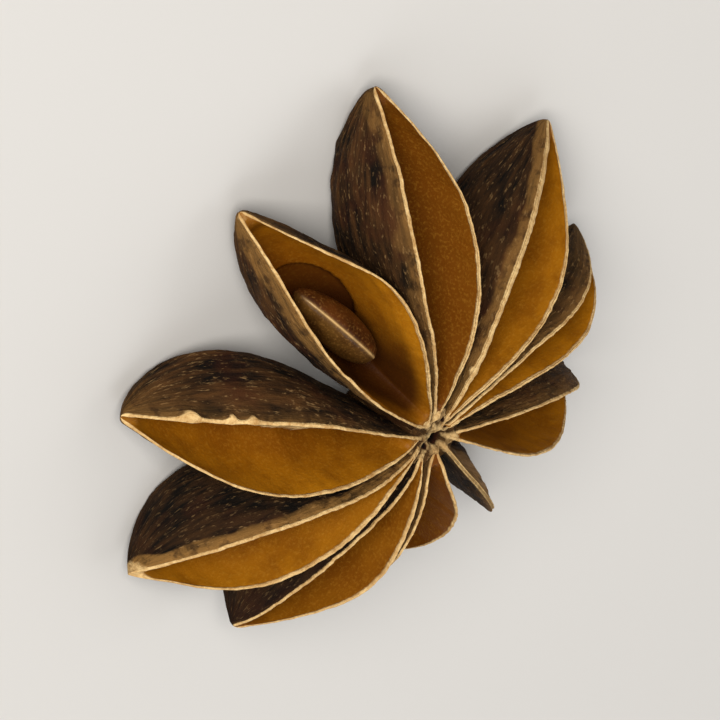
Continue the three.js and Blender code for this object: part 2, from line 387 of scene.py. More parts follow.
EVEN = ring(EVEN_OUT, LIP_ONES, EVEN_IN, -LIP_ONES)
IS_IN = ring(np.zeros_like(EVEN_OUT), LIP_ONES, np.ones_like(EVEN_IN), 0 * LIP_ONES)
IS_LIP = ring(np.zeros_like(EVEN_OUT), LIP_ONES, np.zeros_like(EVEN_IN), LIP_ONES)


def boat_rows(carpel):
    """Fraction along, extra distance outwards, and size, for each ring of points."""
    turns = np.linspace(0, np.pi / 2, END_ROWS + 1)[:-1]
    root = [(0, -ROOT_ROUND * math.sin(t), math.cos(t)) for t in turns[::-1]]
    body = [(s, 0, 1) for s in np.linspace(0, carpel.blunt, BODY_ROWS)[1:]]
    left = 1 - carpel.blunt
    tip = [(carpel.blunt + left * math.sin(t), 0, math.cos(t)) for t in turns[1:]]
    return np.array(root + body + tip)


def over_rim(start, end):
    """Points over a rim's rounded top, from the last column of one skin to the first of another."""
    turn = np.pi * np.linspace(0, 1, LIP_STEPS + 1)[None, 1:-1]
    t = (1 - np.cos(turn)) / 2
    side = start.side[:, -1:] * (1 - t) + end.side[:, :1] * t
    up = start.up[:, -1:] * (1 - t) + end.up[:, :1] * t + LIP * np.sin(turn)
    return side, up


def boat_grid(index):
    """A boat without its relief: its points, and what relief and colours are worked out from."""
    carpel = CARPELS[index]
    key = KEY_STEP * index
    along, shift, size = (column[:, None] for column in boat_rows(carpel).T)
    share = hollow_share(carpel, along)
    room = room_beside(index)
    rims = {side: rim_edge(carpel, key, side, along) for side in (-1, 1)}
    wall = at_side(rims, "thick", EVEN_IN) + WALL_SWELL * (1 - EVEN_IN**2)
    outer = wall_skin(carpel, room, along, EVEN_OUT, 0, 0, 1)
    inner = wall_skin(carpel, room, along, EVEN_IN, wall, KEEL_WALL, share)
    outer = follow_rims(outer, rims, EVEN_OUT, 1, 1)
    inner = follow_rims(inner, rims, EVEN_IN, np.maximum(share, LEAST_FOLLOW), 0)
    first_lip, last_lip = over_rim(outer, inner), over_rim(inner, outer)
    flat = np.zeros_like(first_lip[0])
    side = ring(outer.side, first_lip[0], inner.side, last_lip[0])
    up = ring(outer.up, first_lip[1], inner.up, last_lip[1])
    sink = ring(outer.sink - LIP, flat, inner.sink - LIP, flat)
    free = ring(1 - outer.crowded, 1 + flat, np.ones_like(inner.side), 1 + flat)

    # Rings shrink to round off both ends.
    out, swing, top = seam_at(carpel, along)
    middle_up = top - keel_depth(carpel, along) / 2
    side = swing + (side - swing) * size
    up = middle_up + (up - middle_up) * size
    out = out + shift + 0 * side

    angle = math.radians(carpel.bearing)
    x = out * math.cos(angle) - side * math.sin(angle)
    y = out * math.sin(angle) + side * math.cos(angle)
    return SimpleNamespace(
        carpel=carpel, key=key, along=along, share=share, rims=rims, sink=sink, free=free,
        off_seam=side - swing, length=out, girth=EVEN * GIRTH, points=np.stack([x, y, up], -1),
    )


# -------- a boat's relief
SLOW_WRINKLES = Grain(0.10, 0.3, 0.75, 0)
SHARP_WRINKLES = Grain(0.10, 0.33, 1.5, 1)
FINE_WRINKLES = Grain(0.035, 1.3, 2.6, 3)
SHARP_LOWERED = 0.4  # a share of their height, so that they cut in as well as stand out
KEEL_CREST = 0.08
KEEL_CREST_BREADTH = 0.05  # as a share of the way to a rim
DEEPEST_WRINKLE = -0.14
HIGHEST_WRINKLE = 0.05  # where a neighbour crowds the wall
HIGHEST_FREE = 0.2  # more than that where nothing does
WRINKLES_BELOW = (0.0, 0.9)  # depths below the rim where they start and are full
INNER_WAVES = Grain(0.015, 0.5, 0.3, 6)
WAVES_BELOW = (0.1, 0.6)
CRUMBS = 0.014  # height of the crumbly fibre on a rim
CRUMB_WAVES = 2.7  # to a millimetre
ROOT_SPAN = (0.0, 0.06)  # along, where the relief starts and is full
TIP_SPAN = (0.93, 1.0)  # along, where it fades
TIP_FADED = 0.7  # the share that is gone at the end
LEDGE_RAMP = 0.1  # along, from where it starts to where it is full
LEDGE_BREADTH = 0.35
BED_ENDS = 2.2  # how much further down its edge lies at its two ends
BED_WANDER = 0.12
BED_STEP = 0.22  # breadth of the step down into it
BED_SKIN = 0.28  # how far the skin above stands proud
BED_SKIN_BELOW = (0.3, 1.1)


def on_skin(boat, kind, grain, **options):
    """Unevenness that is drawn out along the boat."""
    across = boat.girth * grain.across
    return grain.height * kind(boat.length * grain.along, across, boat.key + grain.shift, **options)


def on_side(side):
    """1 on one wall and 0 on the other."""
    return np.where(EVEN * side > 0, 1, 0)


def wrinkles(boat):
    """Dry wrinkles outside, from root to tip, and a crest along the keel."""
    height = on_skin(boat, layers, SLOW_WRINKLES)
    height = height + on_skin(boat, ridges, SHARP_WRINKLES) - SHARP_WRINKLES.height * SHARP_LOWERED
    height = height + on_skin(boat, layers, FINE_WRINKLES, octaves=2)
    height = height + KEEL_CREST * hump(EVEN, 0, KEEL_CREST_BREADTH)
    return np.clip(height, DEEPEST_WRINKLE, HIGHEST_WRINKLE + HIGHEST_FREE * boat.free)


def loose_skin(boat):
    """Where the inner skin has come off in a ledge, 0 to 1."""
    ledge = boat.carpel.ledge
    if not ledge:
        return 0
    begun = smoothstep(boat.along, ledge.start, ledge.start + LEDGE_RAMP)
    ended = smoothstep(boat.along, ledge.end - LEDGE_RAMP, ledge.end)
    level = hump(boat.sink, ledge.below, LEDGE_BREADTH)
    return begun * (1 - ended) * IS_IN * on_side(ledge.side) * level


def seed_bed(boat):
    """How much bed there is along the boat, its wavy edge below the rim, and where it is."""
    bed = boat.carpel.bed
    t = np.clip((boat.along - bed.start) / (bed.end - bed.start), 0, 1)
    present = 4 * t * (1 - t)
    wander = BED_WANDER * layers(length_of(boat.carpel, boat.along), boat.key, 4)
    edge = bed.below + BED_ENDS * (1 - present) + wander
    return present, edge, smoothstep(boat.sink, edge, edge + BED_STEP)


def relief(boat, wrinkle, loose):
    """How far the surface stands out of the plain grid, in millimetres."""
    waves = on_skin(boat, layers, INNER_WAVES, octaves=2)
    if boat.carpel.bed:
        present, _, in_bed = seed_bed(boat)
        waves = waves + BED_SKIN * (1 - in_bed) * smoothstep(boat.sink, *BED_SKIN_BELOW) * present
    waves = waves * smoothstep(boat.sink, *WAVES_BELOW)
    amount = np.where(IS_IN > 0, waves, wrinkle * smoothstep(boat.sink, *WRINKLES_BELOW))
    if boat.carpel.ledge:
        amount = amount + boat.carpel.ledge.height * loose
    crumbs = CRUMBS * layers(*np.moveaxis(boat.points * CRUMB_WAVES, -1, 0))
    amount = np.where(IS_LIP > 0, crumbs, amount)
    faded = TIP_FADED * smoothstep(boat.along, *TIP_SPAN)
    return amount * smoothstep(boat.along, *ROOT_SPAN) * (1 - faded)


# -------- a boat's colours
# Painted shade at the narrow tip of a hollow.
TIP_SHADE = 0.5
TIP_SHADE_SPAN = (0.88, 0.96)  # along
# A seed bed's own darker brown, with painted shadow round the seed.
BED_STAIN_AND_SHADE = 0.85
BED_EDGE_SHADOW = 0.3
BED_EDGE_BELOW = 0.2  # the painted shadow line under the bed's edge, below that edge
BED_EDGE_BREADTH = 0.25
# Painted shade deep in the hollow near the column.
ROOT_SHADE = 0.95
ROOT_SHADE_SPAN = (0.18, 0.5)  # along
ROOT_SHADE_SIDE = (0.5, 0.9)  # it stops short of the anticlockwise rim
ROOT_SHADE_BELOW = (0.2, 1.6)
SPILL_IN = 0.03  # how far a rim's pale fibre runs down the inside
SPILL_OUT = 0.06
SHALLOW = 0.5  # share of the full depth up to which a hollow's floor is kept free of fibre,
SHALLOW_STRIP = 0.15  # except this near to the rims, as a share of the way to the keel
TIP_FIBRE_SPAN = (0.92, 1.0)  # along
TIP_FIBRE_DEPTH = 0.8
CHIP_FIBRE = 0.9
CHIP_FIBRE_DEPTH = 0.4
LEDGE_FIBRE = 0.75
SEAM_FIBRE = 1.2  # on the line where a shut boat's walls meet
SEAM_FIBRE_BREADTH = 0.13
SEAM_FIBRE_DEPTH = 0.4
BAND_WANDER = 0.2
BAND_SOLID = 0.7  # the share of a band's depth that is evenly pale
CREASE_MEAN = 0.4  # painted shade and light on the outside: 0 is the darkest crease and 1 the palest crest
CREASE_SPAN = 0.3  # millimetres from the one to the other
NO_CREASE = 0.5
INNER_SHIFT = 20  # sets the grain inside apart from the grain outside


def shade_and_stain_field(boat):
    """Painted shade in the hollow: at the narrow tip, round a seed in its bed, which is also browner of
    its own, and, beside that, at the root.
    """
    # Painted shade: darker towards the narrow tip.
    stain = TIP_SHADE * smoothstep(boat.along, *TIP_SHADE_SPAN)
    if boat.carpel.bed:
        # In a seed's bed: its own darker brown with painted shadow round the seed, and a painted shadow
        # line under the bed's edge.
        present, edge, in_bed = seed_bed(boat)
        rimmed = hump(boat.sink, edge + BED_EDGE_BELOW, BED_EDGE_BREADTH)
        stain = stain + (BED_STAIN_AND_SHADE * in_bed + BED_EDGE_SHADOW * rimmed) * present
        # Painted shade deep in the hollow near the root.
        at_root = 1 - smoothstep(boat.along, *ROOT_SHADE_SPAN)
        at_root = at_root * (1 - smoothstep(EVEN, *ROOT_SHADE_SIDE))
        stain = stain + ROOT_SHADE * at_root * smoothstep(boat.sink, *ROOT_SHADE_BELOW)
    return np.clip(IS_IN * stain, 0, 1)


def rim_field(boat, loose):
    """Where pale fibre shows: on rims, chips and loose skin, and in the tip."""
    sink = boat.sink
    if boat.carpel.shut:
        return SEAM_FIBRE * hump(boat.off_seam, 0, SEAM_FIBRE_BREADTH) * np.exp(-sink / SEAM_FIBRE_DEPTH)
    fibre = np.where(IS_LIP > 0, 1, np.exp(-sink / np.where(IS_IN > 0, SPILL_IN, SPILL_OUT)))
    floor = IS_IN * smoothstep(1 - np.abs(EVEN), 0, SHALLOW_STRIP)
    fibre = fibre * (1 - floor * (1 - smoothstep(boat.share, 0, SHALLOW)))
    in_tip = smoothstep(boat.along, *TIP_FIBRE_SPAN) * np.exp(-sink / TIP_FIBRE_DEPTH)
    on_chips = at_side(boat.rims, "chipped", EVEN) * hump(sink, 0, CHIP_FIBRE_DEPTH)
    for other in (boat.carpel.plug * in_tip, CHIP_FIBRE * on_chips, LEDGE_FIBRE * loose):
        fibre = np.maximum(fibre, other)
    return fibre


def pale_field(boat):
    """How pale the outside is: darker as painted shade below 0, with a band of painted light under one
    rim, partly its own paler tone.
    """
    band = boat.carpel.band
    if not band:
        return boat.carpel.pale
    # Painted light: a paler strip under one rim, over the wall's own paler tone.
    ragged = boat.sink + BAND_WANDER * layers(boat.length, boat.key, 6)
    strip = 1 - smoothstep(ragged, band.depth * BAND_SOLID, band.depth)
    return boat.carpel.pale + band.strength * on_side(band.side) * strip * (1 - IS_IN)


def boat_mesh(index):
    """Rings of points from root to tip, the fields that the husk's material reads, and the
    place of each point in its grain."""
    boat = boat_grid(index)
    wrinkle, loose = wrinkles(boat), loose_skin(boat)
    points = boat.points + relief(boat, wrinkle, loose)[..., None] * normals(boat.points)
    points = points + warp(points)
    # Painted shade in the wrinkles' creases and painted light on their crests.
    crease = np.clip(CREASE_MEAN + wrinkle / CREASE_SPAN, 0, 1)
    fields = dict(
        inner=0 if boat.carpel.shut else IS_IN,
        rim=rim_field(boat, loose),
        sink=boat.sink,
        along=boat.along,
        gold=boat.carpel.gold,
        pale=pale_field(boat),
        stain=shade_and_stain_field(boat),
        crease=np.where(IS_IN > 0, NO_CREASE, crease),
    )
    grain = np.broadcast_arrays(boat.length, boat.girth, boat.key + INNER_SHIFT * IS_IN)
    return points, fields, np.stack(grain, -1)


# -------- the column
COLUMN_TURNS = 200
TOP_ROWS = 46
SHOULDER_ROWS = 6
FLANK_ROWS = 40
FOOT_ROWS = 10
UNDER_ROWS = 60
FOOT_START = TOP_ROWS + SHOULDER_ROWS + FLANK_ROWS
TOP_FADE = 8  # rows over which the relief of the top fades out
UNDER_FADE = 12  # and over which that of the underside starts
TOP_RADIUS = 1.75  # of the flat part
SHOULDER = 0.2
SHOULDER_START = 0.2  # radians
FLANK_START = 0.03  # share of the way down
FOOT_ROUND = 0.6
FOOT_ROUND_START = 0.15  # radians
UNDER_INSET = 0.05  # from the foot's rounding to the first ring underneath
INNERMOST = 0.03  # radius of the first ring and the last
QUARTER_TURN = 1.57  # radians

TOP_LUMPS = Rough(0.22, 1.5, 3.3)
TOP_CRESTS = Rough(0.12, 2.4, 8.8)
TOP_SINK = 0.15
SPOKE_BREADTH = 0.2
SPOKE_HEIGHT = 0.2
SPOKE_SPAN = (0.5, 1.1)  # from the axis
PIT_WANDER = Rough(0.12, 3, 1)
PIT_MASK = (0.15, 0.6)  # shares of a pit's depth where its painted shade starts and is full
# Painted shade: the pits are painted near black.
PIT_PAINTED_SHADE = 2
TOP_SHADE = 0.5  # how deep in the hollow the top's colour is taken from, in millimetres
PIT_SHADE = 6
FLANK_SHADE = 6
TOP_GOLD = 0.5
TOP_FIBRE = 0.35  # how much pale fibre there is on the top,
SPOKE_FIBRE = 0.4  # on its spokes
LUMP_FIBRE = 1.2  # and on its lumps, for each millimetre of their height
Pit = namedtuple("Pit", "x y half_width depth")
PITS = [
    Pit(-1.9, -0.2, 0.32, 0.9),
    Pit(-1.1, -0.3, 0.16, 0.3),
    Pit(-0.95, 0.4, 0.25, 0.7),
    Pit(0.05, 0.5, 0.38, 1.1),
    Pit(0.75, 0.0, 0.2, 0.3),
]

KEEL_BREADTH = 0.55  # of the ridge that each keel makes on the column
SCAR_EDGE = 0.22
SCAR_EDGE_RADIUS = SCAR_RADIUS * 0.98
SCAR_EDGE_BREADTH = 0.2
SCAR_DEPTH = 0.35
SCAR_FLOOR_RADIUS = 0.9
SCAR_KNOB = 0.3
SCAR_KNOB_BREADTH = 0.4
UNDER_LUMPS = Rough(0.09, 1.8, 21)
UNDER_CRUMBS = Rough(0.05, 5, 23)
SCAR_FIBRE = 0.8
SCAR_FIBRE_BREADTH = 0.5
UNDER_RIDGES = 0.28
UNDER_RIDGES_LOWERED = 0.5  # a share of their height
UNDER_RIDGES_FULL = 2.1  # from the axis
FLUTES = 0.08  # on the flank, as a share of the radius
FLUTES_LOWERED = 0.6
FLUTE_LUMPS = 0.025
FLUTE_LUMP_WAVES = 4  # to a radian
FLUTE_LUMP_SHIFT = 30
COLUMN_GRAIN = 3  # millimetres to a radian, as the grain counts them
COLUMN_SHIFT = 90  # sets its grain apart from the boats'


def column_outline():
    """Radius and height of each ring: from the middle of the top, down the side and in to the
    middle underneath."""
    waist = TOP_RADIUS + SHOULDER
    foot_top = COLUMN_FOOT + FOOT_ROUND
    top = [(r, 0.0) for r in np.linspace(INNERMOST, TOP_RADIUS, TOP_ROWS)]
    shoulder = [
        (TOP_RADIUS + SHOULDER * math.sin(t), -SHOULDER + SHOULDER * math.cos(t))
        for t in np.linspace(SHOULDER_START, QUARTER_TURN, SHOULDER_ROWS)
    ]
    flank = [
        (waist + (FOOT_RADIUS - waist) * t, -SHOULDER + (foot_top + SHOULDER) * t)
        for t in np.linspace(FLANK_START, 1, FLANK_ROWS)
    ]
    foot = [
        (FOOT_RADIUS - FOOT_ROUND + FOOT_ROUND * math.cos(t), foot_top - FOOT_ROUND * math.sin(t))
        for t in np.linspace(FOOT_ROUND_START, QUARTER_TURN, FOOT_ROWS)
    ]
    under_start = FOOT_RADIUS - FOOT_ROUND - UNDER_INSET
    under = [(r, COLUMN_FOOT) for r in np.linspace(under_start, INNERMOST, UNDER_ROWS)]
    return np.array(top + shoulder + flank + foot + under)


def towards_boats(turn, radius, half_width):
    """1 on the lines from the axis to the boats, and less beside them."""
    nearest = 0
    for carpel in CARPELS:
        off = np.radians(np.degrees(turn) - carpel.bearing)
        across = np.abs(np.sin(off)) * radius
        nearest = np.maximum(nearest, (np.cos(off) > 0) * hump(across, 0, half_width))
    return nearest


def column_pits(x, y):
    """How deep the pits are, and where they are painted dark as shade, 0 to 1."""
    depth, shaded = 0, 0
    for pit in PITS:
        away = np.hypot(x - pit.x, y - pit.y) + on_plan(noise, PIT_WANDER, x, y)
        hole = hump(away, 0, pit.half_width)
        depth = depth + pit.depth * hole
        # Painted shade in the pits.
        shaded = np.maximum(shaded, smoothstep(hole, *PIT_MASK))
    return depth, shaded


def column_underside(x, y, radius, keels):
    """How far the underside hangs down: the stalk's round scar with its raised edge, in a ring of
    ridges."""
    edge = SCAR_EDGE * hump(radius, SCAR_EDGE_RADIUS, SCAR_EDGE_BREADTH)
    dish = SCAR_DEPTH * smoothstep(-radius, -SCAR_RADIUS, -SCAR_FLOOR_RADIUS)
    knob = SCAR_KNOB * hump(radius, 0, SCAR_KNOB_BREADTH)
    rough = on_plan(layers, UNDER_LUMPS, x, y) + on_plan(layers, UNDER_CRUMBS, x, y, octaves=2)
    spread = UNDER_RIDGES * (keels - UNDER_RIDGES_LOWERED)
    spread = spread * smoothstep(radius, SCAR_RADIUS, UNDER_RIDGES_FULL)
    return edge - dish + knob + rough + spread


def column_mesh():
    """The column's rings, with lumps of torn fibre between pits on top that are painted dark as
    shade, and a spoke to each boat."""
    outline = column_outline()
    row = np.arange(len(outline))[:, None]
    radius, up = outline[:, :1], outline[:, 1:]
    turn = np.linspace(0, 2 * np.pi, COLUMN_TURNS, endpoint=False)[None, :]
    x, y = radius * np.cos(turn), radius * np.sin(turn)
    on_top = 1 - smoothstep(row, TOP_ROWS, TOP_ROWS + TOP_FADE)
    beneath = smoothstep(row, FOOT_START, FOOT_START + UNDER_FADE)
    spokes = towards_boats(turn, radius, SPOKE_BREADTH)
    keels = towards_boats(turn, radius, KEEL_BREADTH)
    lumps = on_plan(layers, TOP_LUMPS, x, y) + on_plan(ridges, TOP_CRESTS, x, y)
    pit_depth, pitted = column_pits(x, y)

    rise = lumps + SPOKE_HEIGHT * spokes * smoothstep(radius, *SPOKE_SPAN) - TOP_SINK - pit_depth
    up = up + on_top * rise - beneath * column_underside(x, y, radius, keels)
    flutes = FLUTES * (keels - FLUTES_LOWERED)
    flutes = flutes + FLUTE_LUMPS * layers(turn * FLUTE_LUMP_WAVES, up, FLUTE_LUMP_SHIFT)
    wider = 1 + (1 - on_top) * flutes
    points = np.stack([x * wider, y * wider, up], -1)

    crests = (TOP_FIBRE + SPOKE_FIBRE * spokes + LUMP_FIBRE * lumps) * (1 - pitted)
    fields = dict(
        inner=0,
        rim=on_top * crests + beneath * SCAR_FIBRE * hump(radius, 0, SCAR_FIBRE_BREADTH),
        sink=np.where(on_top > 0.5, TOP_SHADE + PIT_SHADE * pitted, FLANK_SHADE),
        along=0,
        gold=TOP_GOLD,
        pale=0,
        # Painted shade: the pits are near black.
        stain=PIT_PAINTED_SHADE * on_top * pitted,
        crease=NO_CREASE,
    )
    grain = np.broadcast_arrays(radius, turn * COLUMN_GRAIN, COLUMN_SHIFT + up)
    return points, fields, np.stack(grain, -1)


# -------- the seed
SEED_HOME = CARPELS[1]
SEED_ROWS = 150
SEED_TURNS = 160
SEED_POLE = 0.02  # radians from each end to the first ring
SEED_BLUNT = 0.25
SEED_BLUNT_SPAN = (0.75, 1.0)  # towards the column, in half lengths
SEED_SHORTER = 0.98  # the half that points to the column, for the other's 1
SEED_LINE = 0.05
SEED_LINE_BREADTH = 0.07
SEED_LINE_SPAN = (0.25, 0.6)  # in half heights
SEED_SCAR = 0.3
SEED_SCAR_BREADTH = 0.5
SEED_SCAR_SPAN = (0.86, 0.97)  # in half lengths
SEED_DENTS = 0.035
SEED_DENT_WAVES = (0.5, 0.9, 0.9)  # to a millimetre, along, across and up
SEED_FACE = (-0.25, 0.15)  # millimetres across, where the red side, painted darker as shaded, turns into the olive one, painted lighter as lit


def seed_mesh():
    """A flat egg on its edge, blunt towards the column, with a raised line along its edge."""
    angle = np.linspace(SEED_POLE, np.pi - SEED_POLE, SEED_ROWS)[:, None]
    turn = np.linspace(0, 2 * np.pi, SEED_TURNS, endpoint=False)[None, :]
    x = -np.cos(angle) + 0 * turn
    y, z = np.sin(angle) * np.cos(turn), np.sin(angle) * np.sin(turn)
    egg = 1 - SEED_TAPER * x
    blunt = 1 - SEED_BLUNT * smoothstep(-x, *SEED_BLUNT_SPAN)
    length = SEED_LENGTH / 2 * x * np.where(x < 0, SEED_SHORTER, 1)
    thick = SEED_THICKNESS / 2 * y * egg * (1 - SEED_EDGE * z * z) * blunt
    height = SEED_HEIGHT / 2 * z * egg * blunt
    edge = hump(thick, 0, SEED_LINE_BREADTH) * smoothstep(z, *SEED_LINE_SPAN)
    height = height + SEED_LINE * edge
    scar = smoothstep(-x, *SEED_SCAR_SPAN)
    length = length + SEED_SCAR * scar * hump(np.hypot(thick, height), 0, SEED_SCAR_BREADTH)
    grain = np.stack([length, thick, height], -1)
    dents = SEED_DENTS * layers(*np.moveaxis(grain * SEED_DENT_WAVES, -1, 0), octaves=2)
    points = grain + dents[..., None] * normals(grain)

    # It lies sloping in its boat, to one side of the seam.
    out, side, top = seam_at(SEED_HOME, SEED_ALONG)
    yaw = Matrix.Rotation(math.radians(SEED_YAW), 3, "Z")
    turned = yaw @ Matrix.Rotation(math.radians(SEED_SLOPE), 3, "Y")
    place = Vector((out, side + SEED_SIDE, top - SEED_SINK))
    bearing = Matrix.Rotation(math.radians(SEED_HOME.bearing), 3, "Z")
    points = points @ np.array(turned).T + np.array(place)
    points = points @ np.array(bearing).T
    # edge marks the raised line, which the material paints as a highlight; face runs from the redder
    # side, painted as shaded, to the olive side, painted as lit.
    fields = dict(edge=edge, scar=scar, face=smoothstep(thick, *SEED_FACE))
    return points, fields, grain


# -------- meshes
def grid_faces(rows, columns):
    """Quads between the rings, and the triangles that close the first ring and the last, each
    round a point of its own after the grid's points."""
    i, j = np.meshgrid(np.arange(rows - 1), np.arange(columns), indexing="ij")
    this, following = i * columns, (i + 1) * columns
    k = (j + 1) % columns
    quads = np.stack([this + j, this + k, following + k, following + j], -1).reshape(-1, 4)
    here = np.arange(columns)
    after = (here + 1) % columns
    start_point, end_point = rows * columns, rows * columns + 1
    last = (rows - 1) * columns
    start = np.stack([after, here, np.full(columns, start_point)], -1)
    end = np.stack([last + here, last + after, np.full(columns, end_point)], -1)
    return quads, start, end


TEXTURE_START = 0.02  # the first ring's place on the texture, as each end needs a strip
TEXTURE_SHARE = 0.96
LEAST_STEP = 1e-4  # millimetres, so that no face is left without texture


def grid_texture(points):
    """Places on the texture for the corners of the same faces. They follow the mean lengths of
    the grid's own steps."""
    rows, columns = points.shape[:2]
    wrapped = np.concatenate([points, points[:, :1]], 1)
    across = np.linalg.norm(np.diff(wrapped, axis=1), axis=-1).mean(0) + LEAST_STEP
    down = np.linalg.norm(np.diff(points, axis=0), axis=-1).mean(1) + LEAST_STEP
    u = np.concatenate([[0], np.cumsum(across)]) / across.sum()
    v = TEXTURE_START + TEXTURE_SHARE * np.concatenate([[0], np.cumsum(down)]) / down.sum()
    i, j = np.meshgrid(np.arange(rows - 1), np.arange(columns), indexing="ij")
    corners = ((j, i), (j + 1, i), (j + 1, i + 1), (j, i + 1))
    quads = np.stack([np.stack([u[a], v[b]], -1) for a, b in corners], -2)
    middle = (u[1:] + u[:-1]) / 2
    low, high = np.full(columns, v[0]), np.full(columns, v[-1])
    start = np.stack([u[1:], low, u[:-1], low, middle, np.zeros(columns)], -1)
    end = np.stack([u[:-1], high, u[1:], high, middle, np.ones(columns)], -1)
    return quads.reshape(-1, 4, 2), start.reshape(-1, 3, 2), end.reshape(-1, 3, 2)


def faces_out(points, quads):
    """Whether the faces point out of the closed form."""
    a, b, c, d = (points[quads[:, k]] for k in range(4))
    return (a * np.cross(b, c)).sum() + (a * np.cross(c, d)).sum() >= 0


def add_layer(mesh, name, kind, part, values):
    """A value for each of the grid's points, and a mean for each of the two that close it."""
    ends = [values[0].mean(0), values[-1].mean(0)]
    full = np.concatenate([values.reshape(-1, *values.shape[2:]), ends])
    layer = mesh.attributes.new(name, kind, "POINT")
    layer.data.foreach_set(part, full.astype(np.float32).ravel())


def grid_piece(name, points, fields, grain, material, slot, node):
    """A closed piece from rings of points, with a point at each end to close it."""
    rows, columns = points.shape[:2]
    ends = np.stack([points[0].mean(0), points[-1].mean(0)])
    places = np.concatenate([points.reshape(-1, 3), ends]) + (*POD_AXIS, SEAM_LEVEL)
    places[:, 2] = np.maximum(places[:, 2], 0)
    faces, texture = grid_faces(rows, columns), grid_texture(points)
    if not faces_out(places, faces[0]):
        faces = [part[:, ::-1] for part in faces]
        texture = [part[:, ::-1] for part in texture]

    mesh = bpy.data.meshes.new(name)
    mesh.from_pydata((places * MM).tolist(), [], [face for part in faces for face in part.tolist()])
    uv = mesh.uv_layers.new(name="OFBake")
    corners = np.concatenate([part.reshape(-1, 2) for part in texture])
    uv.data.foreach_set("uv", corners.astype(np.float32).ravel())
    for field, values in fields.items():
        add_layer(mesh, field, "FLOAT", "value", np.broadcast_to(values, (rows, columns)))
    add_layer(mesh, "grain", "FLOAT_VECTOR", "vector", grain)
    mesh.polygons.foreach_set("use_smooth", np.ones(len(mesh.polygons), bool))
    mesh.update()
    mesh.materials.append(material)
    piece = bpy.data.objects.new(name, mesh)
    bpy.context.scene.collection.objects.link(piece)
    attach(piece, "root")
    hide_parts(node)


# -------- materials
def srgb(red, green, blue):
    """A colour given as it looks on a screen, 0 to 255."""
    def linear(value):
        value = value / 255
        return value / 12.92 if value <= 0.04045 else ((value + 0.055) / 1.055) ** 2.4

    return (linear(red), linear(green), linear(blue), 1)


class Nodes:
    """A material's nodes, each made in one call. An input is a number, a colour or a socket."""

    def __init__(self, name):
        self.material = bpy.data.materials.new(name)
        self.material.use_nodes = True
        self.tree = self.material.node_tree
        self.tree.nodes.clear()

    def add(self, kind, inputs=(), **settings):
        node = self.tree.nodes.new("ShaderNode" + kind)
        for key, value in settings.items():
            setattr(node, key, value)
        for key, value in dict(inputs).items():
            if isinstance(value, bpy.types.NodeSocket):
                self.tree.links.new(value, node.inputs[key])
            else:
                node.inputs[key].default_value = value
        return node

    def field(self, name, output="Fac"):
        return self.add("Attribute", attribute_name=name).outputs[output]

    def place(self):
        """The surface's own place, in millimetres."""
        coordinates = self.add("TexCoord").outputs["Object"]
        return self.add("VectorMath", {0: coordinates, 3: 1 / MM}, operation="SCALE").outputs[0]

    def stretch(self, vector, x, y, z):
        return self.add("VectorMath", {0: vector, 1: (x, y, z)}, operation="MULTIPLY").outputs[0]

    def noise(self, vector, scale, detail, roughness):
        inputs = {"Vector": vector, "Scale": scale, "Detail": detail, "Roughness": roughness}
        return self.add("TexNoise", inputs).outputs["Fac"]

    def span(self, value, low, high, least=0.0, most=1.0):
        """From least to most as the value goes from low to high."""
        inputs = {0: value, 1: low, 2: high, 3: least, 4: most}
        return self.add("MapRange", inputs, clamp=True).outputs[0]

    def math(self, operation, a, b, clamp=False):
        return self.add("Math", {0: a, 1: b}, operation=operation, use_clamp=clamp).outputs[0]

    def plus(self, a, b):
        return self.math("ADD", a, b)

    def times(self, a, b, clamp=False):
        return self.math("MULTIPLY", a, b, clamp)

    def mix(self, factor, a, b):
        return self.add("Mix", {0: factor, 6: a, 7: b}, data_type="RGBA").outputs[2]

    def over(self, base, colour, value, low, high, most=1.0):
        """The base with a colour over it, more of it as the value goes from low to high."""
        return self.mix(self.span(value, low, high, most=most), base, colour)

    def bumped(self, inputs, height, strength, distance):
        """A shader's inputs with a fine relief among them."""
        bump = {"Height": height, "Strength": strength, "Distance": distance}
        return dict(inputs, Normal=self.add("Bump", bump).outputs["Normal"])

    def shader(self, inputs):
        shader = self.add("BsdfPrincipled", inputs)
        output = self.add("OutputMaterial")
        self.tree.links.new(shader.outputs[0], output.inputs[0])
        return self.material


DARK_WOOD = srgb(9, 5, 2)
GREY_FIBRE = srgb(74, 47, 21)
RED_PATCH = srgb(58, 26, 10)
PALE_SPECK = srgb(146, 114, 72)
# Worn wood, also the colour of painted light under a rim.
WORN_AND_LIT_WOOD = srgb(146, 106, 54)
# A paler grey, painted brighter as if lit.
PALE_LIT_WOOD = srgb(196, 158, 122)
GOLD_HIGH = srgb(172, 110, 14)
GOLD_DEEP_SHADED = srgb(122, 68, 5)
BROWN_HIGH = srgb(114, 64, 10)
BROWN_DEEP_SHADED = srgb(82, 40, 4)
AMBER_CLOUD = srgb(104, 54, 4)
# Painted shade towards the root.
AMBER_ROOT_SHADE = srgb(84, 40, 3)
AMBER_GLINT = srgb(188, 134, 44)
TORN_DULL = srgb(172, 130, 76)
TORN_BRIGHT = srgb(224, 190, 132)
TORN_FADED = srgb(164, 118, 62)
# Painted shade in the hollows, with a seed bed's own darker brown.
SHADE_AND_STAIN_BROWN = srgb(50, 20, 5)
# Painted shade: near black in the column's pits.
PIT_SHADE_COLOUR = srgb(9, 4, 2)
NEARLY_E = 2.718


